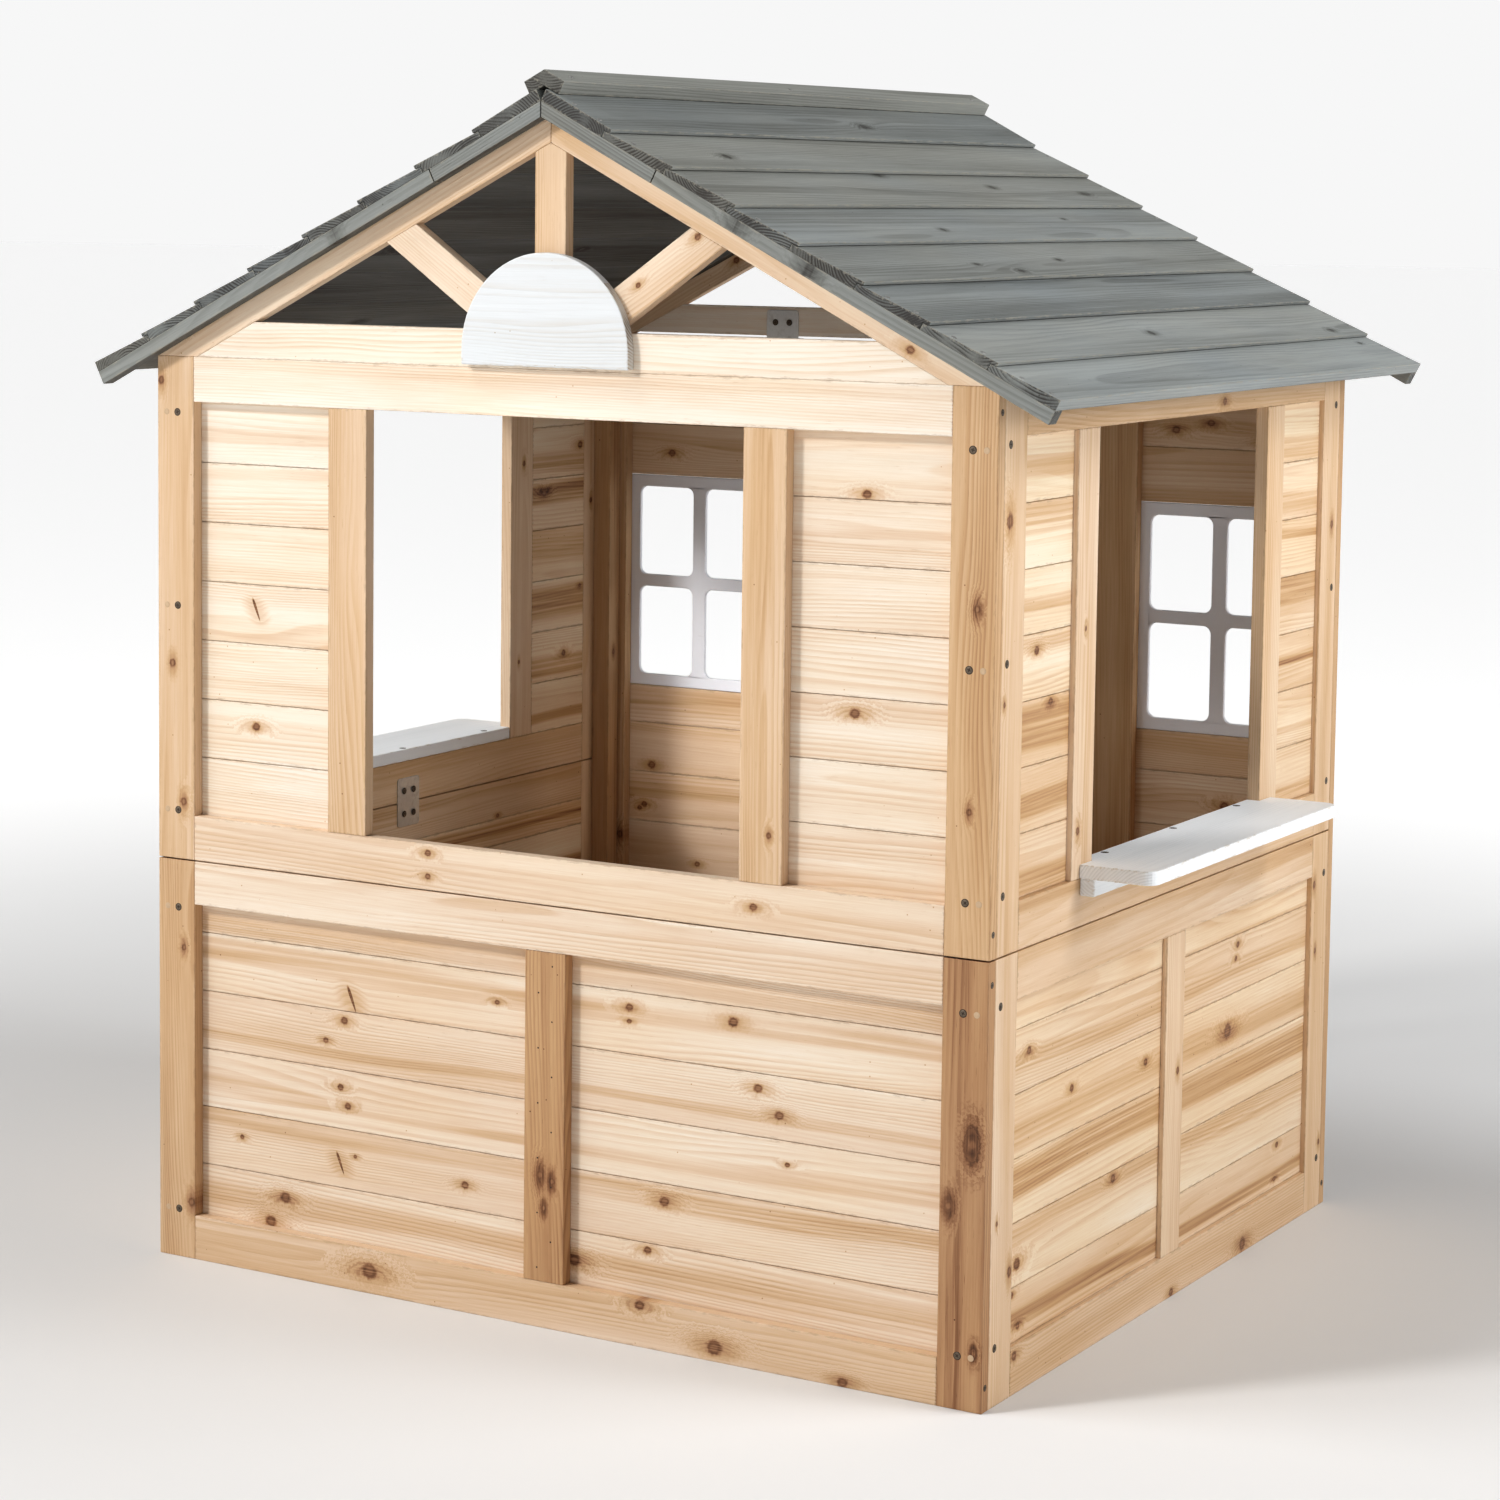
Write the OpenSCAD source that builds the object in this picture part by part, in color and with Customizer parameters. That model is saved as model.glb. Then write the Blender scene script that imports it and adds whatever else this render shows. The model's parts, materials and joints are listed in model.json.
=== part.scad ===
// Child's wooden playhouse: eight framed wall panels, two gable trusses, a boarded pitched roof,
// two serving shelves, two window frames and a half-height rear door on butt hinges.
// Origin: middle of the footprint on the ground. +Z up, the front wall faces -Y, X to the right.

/* [Walls] */
// Width over the front wall
wall_w = 1030; // [980:1:1100]
// Depth over the front and back frames
wall_d = 935; // [900:1:1000]
// Height of the walls
wall_h = 1017; // [1000:1:1040]
// Height of the seam between the lower and the upper panels
seam_z = 455; // [440:1:470]

/* [Timber] */
// Width of stiles, rails, uprights and battens
stock_w = 50; // [45:1:55]
// Thickness of the frames
stock_t = 15; // [14:0.5:18]
// Thickness of the wall boards
board_t = 9; // [8:0.5:10]
// Height of one wall board
board_pitch = 66; // [60:1:72]
// Height of the lowest board joint
board_base = 41.5; // [38:0.5:45]
// How far boards lap behind the frames
board_lap = 10; // [5:1:12]
// Side of the square corner posts
post_w = 25; // [20:1:30]

/* [Openings] */
// Width of the serving hatch in the front wall
hatch_w = 464; // [400:1:520]
// Width of the opening in each side wall
side_gap = 458; // [400:1:520]
// Width of the doorway in the back wall
doorway_w = 420; // [400:1:440]
// Height of the bottom edge of the window frames
window_z = 553; // [540:1:570]
// Height of one window frame
window_h = 279; // [260:1:290]
// Width of one window pane
pane_w = 80; // [70:1:84]
// Height of one window pane
pane_h = 116; // [100:1:118]

/* [Roof] */
// Slope of the roof in degrees
roof_angle = 27; // [24:0.5:30]
// Height of the underside of the roof boards at the ridge
roof_apex = 1294; // [1280:1:1310]
// Boards on each slope
roof_rows = 8; // [6:1:9]
// Visible width of one roof board, measured down the slope
roof_pitch = 81.8; // [75:0.1:90]
// How far the roof reaches in front of the front wall
overhang_front = 20; // [10:1:40]
// How far the roof reaches behind the back wall
overhang_back = 52; // [30:1:70]
// Depth of the gable timbers
gable_w = 38; // [34:1:42]
// Lean of the gable struts above the horizontal, in degrees
strut_angle = 35; // [30:1:40]

/* [Shelves] */
// Length of the shelf outside the wall
shelf_len = 520; // [480:1:560]
// How far the shelf stands out from the wall
shelf_out = 83; // [60:1:100]
// Thickness of the shelf
shelf_t = 15; // [12:1:18]

/* [Door] */
// Height of the top of the door
door_top = 479; // [440:1:500]
// Height of the bottom of the door
door_bottom = 20; // [10:1:30]
// Gap around the door
door_gap = 4; // [3:0.5:6]

/* [Hidden] */
$fn = 32;

frame_color = "burlywood";
board_color = "wheat";
roof_color = "slategray";
white_color = "whitesmoke";
steel_color = "silver";

// Walls in plan
half_w = wall_w / 2;
roof_len = overhang_front + wall_d + overhang_back;
front_y = -roof_len / 2 + overhang_front;
back_y = front_y + wall_d;
side_y0 = front_y + stock_t;
side_y1 = back_y - stock_t;
side_mid = (side_y0 + side_y1) / 2;
half_door = doorway_w / 2;

// Boards
board_gap = 0.6;
min_strip = 20;
upper_rail_z = wall_h - stock_w;
sill_z = seam_z + stock_w;

// Heights of the post screws in the lower and upper panels, and of the rails' middles
post_screw_z = [55, 400, 510, 740, 955];
rail_mid_z = [stock_w / 2, seam_z - stock_w / 2, seam_z + stock_w / 2, wall_h - stock_w / 2];

// Gable
slope = tan(roof_angle);
rafter_drop = gable_w / cos(roof_angle);
beam_top = wall_h + 40;
back_slit = 3;

// Roof section: thicknesses are square to the slope
board_thin = 7;
board_thick = 12;
top_thin = 13.2;
lip_len = 8;
lip_gap = 0.3;
batten_w = 17;
batten_h = 15;
batten_split = 155;
batten_break = 1;
cap_low = 13.5;
cap_t = 15;
cap_reach = 20;
cap_front = 6;
cap_back = 8;

// Door and hinges
door_x = half_door - door_gap;
hinge_z = [115, 384];
hinge_h = 60;
leaf_w = 22;
leaf_t = 1.5;
pin_r = 1.5;
pin_play = 0.05;
knuckle_r = 3;
knuckle_gap = 0.4;
pin_x = half_door - door_gap / 2;
pin_y = back_y + knuckle_r + 0.3;

// Window panes
pane_gap_x = 19;
pane_gap_z = 16;
pane_r = 10;
window_t = 6;

// Mending plates
plate_w = 46;
plate_h = 60;
plate_t = 1.5;
plate_hole = [20, 28.5];

module box(lo, hi) {
  translate(lo) cube(hi - lo);
}

// A straight timber in a wall. u runs along the wall, z up, and w goes from the frame's show
// face through its thickness. The back wall's show face is its inner one.
module timber(wall, u, z, w) {
  if (wall == "front") box([u[0], front_y + w[0], z[0]], [u[1], front_y + w[1], z[1]]);
  if (wall == "back") box([u[0], side_y1 + w[0], z[0]], [u[1], side_y1 + w[1], z[1]]);
  if (wall == "left") box([w[0] - half_w, u[0], z[0]], [w[1] - half_w, u[1], z[1]]);
  if (wall == "right") box([half_w - w[1], u[0], z[0]], [half_w - w[0], u[1], z[1]]);
}

// Both outer uprights of a panel that spans u and z
module stiles(wall, u, z) {
  color(frame_color) {
    timber(wall, [u[0], u[0] + stock_w], z, [0, stock_t]);
    timber(wall, [u[1] - stock_w, u[1]], z, [0, stock_t]);
  }
}

// Top and bottom rails between the stiles of a panel that spans u and z
module rails(wall, u, z) {
  inner = [u[0] + stock_w, u[1] - stock_w];
  color(frame_color) {
    timber(wall, inner, [z[0], z[0] + stock_w], [0, stock_t]);
    timber(wall, inner, [z[1] - stock_w, z[1]], [0, stock_t]);
  }
}

// Board joints that fall far enough inside z
function joints(z) = [
  for (k = [0:floor(wall_h / board_pitch)])
    let (j = board_base + k * board_pitch)
      if (j > z[0] + min_strip && j < z[1] - min_strip) j
];

// A stack of horizontal boards that fills u and z
module boards(wall, u, z, w) {
  edges = concat([z[0]], joints(z), [z[1]]);
  color(board_color)
    for (i = [0:len(edges) - 2])
      timber(wall, u, [edges[i] + board_gap / 2, edges[i + 1] - board_gap / 2], w);
}

// Boards nailed behind a frame, and boards let in flush with the inside of a frame
behind = [stock_t, stock_t + board_t];
let_in = [stock_t - board_t, stock_t];

lower = [0, seam_z];
upper = [seam_z, wall_h];
front_u = [-half_w, half_w];
side_u = [side_y0, side_y1];
front_lap = half_w - stock_w + board_lap;

// Front wall
module front_lower_stiles() stiles("front", front_u, lower);
module front_lower_rails() rails("front", front_u, lower);
module front_lower_batten() {
  color(frame_color)
    timber("front", [-stock_w / 2, stock_w / 2], [stock_w, seam_z - stock_w], [0, stock_t]);
}
module front_lower_boards() {
  z = [stock_w - board_lap, seam_z - stock_w + board_lap];
  boards("front", [-front_lap, front_lap], z, behind);
}
module front_upper_stiles() stiles("front", front_u, upper);
module front_upper_rails() rails("front", front_u, upper);
module front_upper_uprights() {
  color(frame_color)
    for (side = [-1, 1]) {
      mid = side * (hatch_w + stock_w) / 2;
      timber("front", [mid - stock_w / 2, mid + stock_w / 2], [sill_z, upper_rail_z], [0, stock_t]);
    }
}
module front_upper_boards() {
  inner = hatch_w / 2 + stock_w - board_lap;
  z = [sill_z - board_lap, upper_rail_z + board_lap];
  boards("front", [-front_lap, -inner], z, behind);
  boards("front", [inner, front_lap], z, behind);
}

// Side walls
module side_batten(wall) {
  color(frame_color)
    timber(wall, [side_mid - stock_w / 2, side_mid + stock_w / 2],
      [stock_w, seam_z - stock_w], [0, let_in[0]]);
}
module side_lower_boards(wall) {
  boards(wall, [side_y0 + stock_w, side_y1 - stock_w], [stock_w, seam_z - stock_w], let_in);
}
module side_uprights(wall) {
  color(frame_color)
    for (side = [-1, 1]) {
      mid = side_mid + side * (side_gap + stock_w) / 2;
      timber(wall, [mid - stock_w / 2, mid + stock_w / 2], [sill_z, upper_rail_z], [0, stock_t]);
    }
}
module side_upper_boards(wall) {
  inner = side_gap / 2 + stock_w;
  z = [sill_z, upper_rail_z];
  boards(wall, [side_y0 + stock_w, side_mid - inner], z, let_in);
  boards(wall, [side_mid + inner, side_y1 - stock_w], z, let_in);
}
module left_lower_stiles() stiles("left", side_u, lower);
module left_lower_rails() rails("left", side_u, lower);
module left_lower_batten() side_batten("left");
module left_lower_boards() side_lower_boards("left");
module left_upper_stiles() stiles("left", side_u, upper);
module left_upper_rails() rails("left", side_u, upper);
module left_upper_uprights() side_uprights("left");
module left_upper_boards() side_upper_boards("left");
module right_lower_stiles() stiles("right", side_u, lower);
module right_lower_rails() rails("right", side_u, lower);
module right_lower_batten() side_batten("right");
module right_lower_boards() side_lower_boards("right");
module right_upper_stiles() stiles("right", side_u, upper);
module right_upper_rails() rails("right", side_u, upper);
module right_upper_uprights() side_uprights("right");
module right_upper_boards() side_upper_boards("right");

// Back wall: two full-height panels, framed on the inside, with the window frame between boards
back_left_u = [-half_w, -half_door];
back_right_u = [half_door, half_w];
full = [0, wall_h];

// Span of the boards and the window frame behind one back panel
function back_span(u) = [u[0] + stock_w - board_lap, u[1] - stock_w + board_lap];
module back_boards(u) {
  boards("back", back_span(u), [stock_w - board_lap, window_z], behind);
  boards("back", back_span(u), [window_z + window_h, upper_rail_z + board_lap], behind);
}
module pane(x, z) {
  translate([x, 0, z])
    rotate([-90, 0, 0])
      linear_extrude(height = 3 * window_t, center = true)
        polygon([
          for (c = [[1, 1, 0], [-1, 1, 90], [-1, -1, 180], [1, -1, 270]])
            for (a = [0:15:90])
              [c[0] * (pane_w / 2 - pane_r) + pane_r * cos(c[2] + a),
               c[1] * (pane_h / 2 - pane_r) + pane_r * sin(c[2] + a)]
        ]);
}
module window_frame(u) {
  span = back_span(u);
  mid = (span[0] + span[1]) / 2;
  mid_z = window_z + window_h / 2;
  fit = board_gap / 2;
  color(white_color)
    difference() {
      timber("back", span, [window_z + fit, window_z + window_h - fit],
        [stock_t, stock_t + window_t]);
      for (i = [-1, 1])
        for (j = [-1, 1])
          translate([0, back_y, 0])
            pane(mid + i * (pane_w + pane_gap_x) / 2, mid_z + j * (pane_h + pane_gap_z) / 2);
    }
}
module back_left_stiles() stiles("back", back_left_u, full);
module back_left_rails() rails("back", back_left_u, full);
module back_left_boards() back_boards(back_left_u);
module back_right_stiles() stiles("back", back_right_u, full);
module back_right_rails() rails("back", back_right_u, full);
module back_right_boards() back_boards(back_right_u);
module left_window_frame() window_frame(back_left_u);
module right_window_frame() window_frame(back_right_u);

// Square posts inside the four corners, which the wall panels are screwed to
module corner_posts() {
  x = half_w - stock_t - post_w;
  color(frame_color)
    for (side = [0, 1])
      mirror([side, 0, 0])
        for (y = [side_y0, side_y1 - post_w])
          box([x, y, 0], [x + post_w, y + post_w, wall_h]);
}

// Gable trusses. An outline in x and z is given the frames' thickness, from y onwards.
module truss_part(y) {
  color(frame_color)
    translate([0, y + stock_t, 0])
      rotate([90, 0, 0])
        linear_extrude(height = stock_t)
          children();
}
function roof_z(x) = roof_apex - x * slope;
function rafter_z(x) = roof_z(x) - rafter_drop;
function rafter_x(z) = (roof_apex - rafter_drop - z) / slope;
module tie_beam_outline(low) {
  polygon([
    [-rafter_x(low), low], [rafter_x(low), low],
    [rafter_x(beam_top), beam_top], [-rafter_x(beam_top), beam_top]
  ]);
}
mitre_gap = 0.2;
module rafter_outline() {
  polygon([
    [mitre_gap, rafter_z(mitre_gap)], [rafter_x(wall_h), wall_h], [half_w, wall_h],
    [half_w, roof_z(half_w)], [mitre_gap, roof_z(mitre_gap)]
  ]);
}
module king_post_outline() {
  h = gable_w / 2;
  polygon([[-h, beam_top], [h, beam_top], [h, rafter_z(h)], [0, rafter_z(0)], [-h, rafter_z(h)]]);
}
// The strut leans up and outward to the rafter, and stands on the tie beam
strut_mid_x = 187;
function strut_low_z(x) =
  rafter_z(strut_mid_x) + (x - strut_mid_x) * tan(strut_angle) - gable_w / 2 / cos(strut_angle);
function strut_high_z(x) = strut_low_z(x) + gable_w / cos(strut_angle);
function line_meet(z0, slope_up) = (rafter_z(0) - z0) / (slope_up + slope);
module strut_outline() {
  rise = tan(strut_angle);
  low_x = line_meet(strut_low_z(0), rise);
  high_x = line_meet(strut_high_z(0), rise);
  inner_x = gable_w / 2 + 0.5;
  foot_x = (beam_top - strut_low_z(0)) / rise;
  polygon([
    [inner_x, beam_top], [foot_x, beam_top], [low_x, rafter_z(low_x)],
    [high_x, rafter_z(high_x)], [inner_x, strut_high_z(inner_x)]
  ]);
}
module both_sides() {
  children();
  mirror([1, 0]) children();
}
module front_tie_beam() truss_part(front_y) tie_beam_outline(wall_h);
module back_tie_beam() truss_part(side_y1) tie_beam_outline(wall_h + back_slit);
module front_rafters() truss_part(front_y) both_sides() rafter_outline();
module back_rafters() truss_part(side_y1) both_sides() rafter_outline();
module king_posts() {
  truss_part(front_y) king_post_outline();
  truss_part(side_y1) king_post_outline();
}
module gable_struts() {
  truss_part(front_y) both_sides() strut_outline();
  truss_part(side_y1) both_sides() strut_outline();
}

// Half-round plaque over the middle of the front tie beam
plaque_r = 102.5;
plaque_side = 16;
plaque_t = 12;
module front_plaque() {
  color(white_color)
    translate([0, front_y, wall_h + 3])
      rotate([90, 0, 0])
        linear_extrude(height = plaque_t)
          polygon(concat(
            [[-plaque_r, 0], [plaque_r, 0]],
            [for (a = [0:5:180]) [plaque_r * cos(a), plaque_side + plaque_r * sin(a)]]
          ));
}

// Roof. An outline in s, down the slope from the ridge, and n, square to it, runs from y0 to y1.
module on_slope(side, y0, y1) {
  mirror([side < 0 ? 1 : 0, 0, 0])
    translate([0, y1, roof_apex])
      rotate([90, 0, 0])
        rotate([0, 0, -roof_angle])
          linear_extrude(height = y1 - y0)
            children();
}
module roof_board_outline(k) {
  last = k == roof_rows - 1;
  s0 = k * roof_pitch + (k == 0 ? 0 : board_gap);
  s1 = (k + 1) * roof_pitch;
  n0 = k == 0 ? top_thin : board_thin;
  if (last)
    polygon([[s0, 0], [s1, 0], [s1, board_thick], [s0, n0]]);
  if (!last)
    polygon([
      [s0, 0], [s1, 0], [s1, board_thin + lip_gap], [s1 + lip_len, board_thin + 3 * lip_gap],
      [s1 + lip_len, board_thick], [s0, n0]
    ]);
}
roof_y = [front_y - overhang_front, back_y + overhang_back];
module roof_boards(side) {
  color(roof_color)
    for (k = [0:roof_rows - 1])
      on_slope(side, roof_y[0], roof_y[1]) roof_board_outline(k);
}
module left_roof_boards() roof_boards(-1);
module right_roof_boards() roof_boards(1);

// Battens under the board ends and just inside the trusses, each in a short upper and a long
// lower length, mitred at the ridge
module batten_outline(s0, s1) {
  mitre = batten_h * slope;
  start = s0 == 0 ? mitre + 0.5 : s0;
  polygon([[s0 == 0 ? 0.5 : s0, 0], [s1, 0], [s1, -batten_h], [start, -batten_h]]);
}
module roof_battens() {
  end_s = roof_rows * roof_pitch;
  inner_s = rafter_x(wall_h) / cos(roof_angle);
  color(roof_color)
    for (side = [-1, 1]) {
      for (y = [roof_y[0], roof_y[1] - batten_w]) {
        on_slope(side, y, y + batten_w) batten_outline(0, batten_split);
        on_slope(side, y, y + batten_w) batten_outline(batten_split + batten_break, end_s);
      }
      for (y = [side_y0 + 2, side_y1 - 2 - batten_w]) {
        on_slope(side, y, y + batten_w) batten_outline(0, batten_split);
        on_slope(side, y, y + batten_w) batten_outline(batten_split + batten_break, inner_s);
      }
    }
}

// Ridge caps: the right one laps over the top edge of the left one
cap_high = cap_low + cap_t;
cap_y = [roof_y[0] + cap_front, roof_y[1] - cap_back];
lap_x = cap_t / cos(roof_angle) / slope / 2;
cap_s = cap_reach - (cap_high - cap_t) * slope;
module cap_solid() {
  color(roof_color)
    translate([0, cap_y[1], roof_apex])
      rotate([90, 0, 0])
        linear_extrude(height = cap_y[1] - cap_y[0])
          children();
}
function slope_point(s, n) = [
  s * cos(roof_angle) + n * sin(roof_angle), n * cos(roof_angle) - s * sin(roof_angle)
];
cap_apex = [0, cap_high / cos(roof_angle)];
cap_inner = [0, cap_low / cos(roof_angle)];
cap_lap = [-lap_x, cap_apex[1] - lap_x * slope];
cap_out_high = slope_point(cap_s, cap_high);
cap_out_low = slope_point(cap_s, cap_low);
module right_ridge_cap() {
  cap_solid() polygon([cap_apex, cap_out_high, cap_out_low, cap_inner, cap_lap]);
}
module left_ridge_cap() {
  cap_solid()
    polygon([
      cap_lap, cap_inner, [-cap_out_low[0], cap_out_low[1]], [-cap_out_high[0], cap_out_high[1]]
    ]);
}

// Serving shelves with rounded outer corners, notched around the uprights
module shelf_outline() {
  out = half_w + shelf_out;
  r = 14;
  h = shelf_len / 2;
  g = side_gap / 2 - 0.5;
  polygon(concat(
    [[half_w - stock_t, g], [half_w - stock_t, -g], [half_w, -g], [half_w, -h]],
    [for (a = [-90:15:0]) [out - r + r * cos(a), -h + r + r * sin(a)]],
    [for (a = [0:15:90]) [out - r + r * cos(a), h - r + r * sin(a)]],
    [[half_w, h], [half_w, g]]
  ));
}
module shelf() {
  color(white_color)
    translate([0, side_mid, sill_z])
      linear_extrude(height = shelf_t)
        shelf_outline();
}
module right_shelf() shelf();
module left_shelf() mirror([1, 0, 0]) shelf();
shelf_batten_w = 16.5;
shelf_batten_h = 18;
module shelf_battens() {
  h = shelf_len / 2 - 2;
  color(white_color)
    for (side = [0, 1])
      mirror([side, 0, 0])
        box([half_w, side_mid - h, sill_z - shelf_batten_h],
          [half_w + shelf_batten_w, side_mid + h, sill_z]);
}

// Half-height door, framed on the inside and boarded on the outside like the back wall
door_u = [-door_x, door_x];
door_z = [door_bottom, door_top];
module door_stiles() stiles("back", door_u, door_z);
module door_rails() rails("back", door_u, door_z);
module door_boards() {
  rim = stock_w - board_lap;
  boards("back", back_span(door_u), [door_bottom + rim, door_top - rim], behind);
}

// Butt hinges on the stiles' outer faces. The frame leaf has the end knuckles, the door leaf
// the middle one.
knuckle_h = hinge_h / 3;
outer_y = back_y;
module knuckle(z0, z1) {
  translate([pin_x, pin_y, z0])
    difference() {
      cylinder(r = knuckle_r, h = z1 - z0);
      translate([0, 0, -1]) cylinder(r = pin_r + pin_play, h = z1 - z0 + 2);
    }
}
// A strip under the pin joins the plate to a knuckle
module leaf_curl(dir, z0, z1) {
  box([min(pin_x, pin_x + dir * 8), outer_y, z0],
    [max(pin_x, pin_x + dir * 8), outer_y + leaf_t, z1]);
}
module leaf_plate(dir, z0) {
  near = pin_x + dir * 4.5;
  far = pin_x + dir * leaf_w;
  box([min(near, far), outer_y, z0], [max(near, far), outer_y + leaf_t, z0 + hinge_h]);
}
module hinge_frame_leaves() {
  color(steel_color)
    for (z = hinge_z) {
      z0 = z - hinge_h / 2;
      union() {
        leaf_plate(1, z0);
        for (k = [0, 2]) {
          leaf_curl(1, z0 + k * knuckle_h, z0 + (k + 1) * knuckle_h - (k == 0 ? knuckle_gap : 0));
          knuckle(z0 + k * knuckle_h, z0 + (k + 1) * knuckle_h - (k == 0 ? knuckle_gap : 0));
        }
      }
    }
}
module hinge_door_leaves() {
  color(steel_color)
    for (z = hinge_z) {
      z0 = z - hinge_h / 2;
      union() {
        leaf_plate(-1, z0);
        leaf_curl(-1, z0 + knuckle_h, z0 + 2 * knuckle_h - knuckle_gap);
        knuckle(z0 + knuckle_h, z0 + 2 * knuckle_h - knuckle_gap);
      }
    }
}
// Each pin hangs from its head on the top knuckle
module hinge_pins() {
  color(steel_color)
    for (z = hinge_z)
      translate([pin_x, pin_y, z - hinge_h / 2 - 1]) {
        cylinder(r = pin_r, h = hinge_h + 1);
        translate([0, 0, hinge_h + 1]) cylinder(r = pin_r + 1.2, h = 1.5);
      }
}

// A countersunk screw that points along -Z, with its head's top at the origin
module screw(length, head_r, shank_r) {
  cone = head_r - shank_r;
  rotate_extrude()
    polygon([
      [0, -length], [shank_r * 0.4, -length], [shank_r, -length + 3 * shank_r],
      [shank_r, -cone], [head_r, 0], [0, 0]
    ]);
}
// A round-headed nail or screw that stands a little proud
module proud_nail(length, head_r, shank_r, head_h) {
  rotate_extrude()
    polygon([
      [0, -length], [shank_r * 0.5, -length], [shank_r, -length + 2 * shank_r],
      [shank_r, 0], [head_r, 0], [head_r * 0.7, head_h], [0, head_h]
    ]);
}
hinge_screw_z = [-20, 0, 20];
module hinge_screws(dir) {
  color(steel_color)
    for (z = hinge_z)
      for (dz = hinge_screw_z)
        translate([pin_x + dir * 14, outer_y + leaf_t, z + dz])
          rotate([-90, 0, 0])
            proud_nail(12, 3, 1.3, 1);
}
module hinge_frame_screws() hinge_screws(1);
module hinge_door_screws() hinge_screws(-1);

// Flat plates that tie the side walls' seam and the back tie beam
module plate_outline() {
  r = 4;
  difference() {
    polygon([
      for (c = [[1, 1, 0], [-1, 1, 90], [-1, -1, 180], [1, -1, 270]])
        for (a = [0:30:90])
          [c[0] * (plate_w / 2 - r) + r * cos(c[2] + a), c[1] * (plate_h / 2 - r) + r * sin(c[2] + a)]
    ]);
    for (i = [-0.5, 0.5])
      for (j = [-0.5, 0.5])
        translate([i * plate_hole[0], j * plate_hole[1]]) circle(r = 2.2);
  }
}
module mending_plates() {
  color(steel_color)
    for (side = [0, 1])
      mirror([side, 0, 0]) {
        translate([half_w - stock_t, side_mid, seam_z])
          rotate([90, 0, -90])
            linear_extrude(height = plate_t) plate_outline();
        translate([half_door + plate_w / 2, side_y1, wall_h + 6])
          rotate([90, 0, 0])
            linear_extrude(height = plate_t) plate_outline();
      }
}

// Screws of the walls: through the stiles into the posts, through the stiles' edges into the
// rails, down through the shelves into the sills, and through the mending plates
module wall_screws() {
  post_mid = stock_t + post_w / 2;
  color(steel_color)
    for (side = [0, 1])
      mirror([side, 0, 0]) {
        for (z = post_screw_z) {
          translate([half_w - post_mid, front_y, z])
            rotate([90, 0, 0]) screw(35, 3.8, 1.8);
          for (y = [front_y + post_mid, back_y - post_mid])
            translate([half_w, y, z + 5]) rotate([0, 90, 0]) screw(32, 3.8, 1.8);
        }
        for (z = rail_mid_z)
          translate([half_w, front_y + stock_t / 2, z]) rotate([0, 90, 0]) screw(75, 3, 1.6);
        for (z = [rail_mid_z[0], rail_mid_z[3]])
          translate([half_w, back_y - stock_t / 2, z]) rotate([0, 90, 0]) screw(75, 3, 1.6);
        for (y = [side_mid - 180, side_mid, side_mid + 180])
          translate([half_w - stock_t / 2, y, sill_z + shelf_t]) screw(40, 3.8, 1.8);
        for (i = [-0.5, 0.5])
          for (j = [-0.5, 0.5]) {
            translate([half_w - stock_t - plate_t, side_mid + i * plate_hole[0],
              seam_z + j * plate_hole[1]])
              rotate([0, -90, 0]) proud_nail(11, 3.4, 1.5, 1);
            translate([half_door + plate_w / 2 + i * plate_hole[0], side_y1 - plate_t,
              wall_h + 6 + j * plate_hole[1]])
              rotate([90, 0, 0]) proud_nail(11, 3.4, 1.5, 1);
          }
      }
}

// Nails of the roof boards and the ridge caps
module slope_nail(side, s, n, y, length) {
  mirror([side < 0 ? 1 : 0, 0, 0])
    translate([0, y, roof_apex])
      rotate([0, roof_angle, 0])
        translate([s, 0, n])
          proud_nail(length, 2.6, 1.1, 0.8);
}
module roof_nails() {
  color(steel_color)
    for (side = [-1, 1]) {
      for (k = [0:roof_rows - 1]) {
        n0 = k == 0 ? top_thin : board_thin;
        for (t = [0.4, 0.82]) {
          n = n0 + (board_thick - n0) * t * roof_pitch / (roof_pitch + lip_len);
          for (y = [roof_y[0] + batten_w / 2, roof_y[1] - batten_w / 2])
            slope_nail(side, (k + t) * roof_pitch, n, y, 20);
        }
      }
      for (y = [cap_y[0] + 30, (cap_y[0] + cap_y[1]) / 2, cap_y[1] - 30])
        slope_nail(side, side > 0 ? 1.2 : 8, cap_high, y, 24);
    }
}

front_lower_stiles();
front_lower_rails();
front_lower_batten();
front_lower_boards();
front_upper_stiles();
front_upper_rails();
front_upper_uprights();
front_upper_boards();
left_lower_stiles();
left_lower_rails();
left_lower_batten();
left_lower_boards();
left_upper_stiles();
left_upper_rails();
left_upper_uprights();
left_upper_boards();
right_lower_stiles();
right_lower_rails();
right_lower_batten();
right_lower_boards();
right_upper_stiles();
right_upper_rails();
right_upper_uprights();
right_upper_boards();
back_left_stiles();
back_left_rails();
back_left_boards();
back_right_stiles();
back_right_rails();
back_right_boards();
left_window_frame();
right_window_frame();
corner_posts();
front_tie_beam();
front_rafters();
front_plaque();
back_tie_beam();
back_rafters();
king_posts();
gable_struts();
left_roof_boards();
right_roof_boards();
roof_battens();
left_ridge_cap();
right_ridge_cap();
left_shelf();
right_shelf();
shelf_battens();
door_stiles();
door_rails();
door_boards();
hinge_frame_leaves();
hinge_door_leaves();
hinge_pins();
hinge_frame_screws();
hinge_door_screws();
mending_plates();
wall_screws();
roof_nails();
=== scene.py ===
import json
import math
import random

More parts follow.
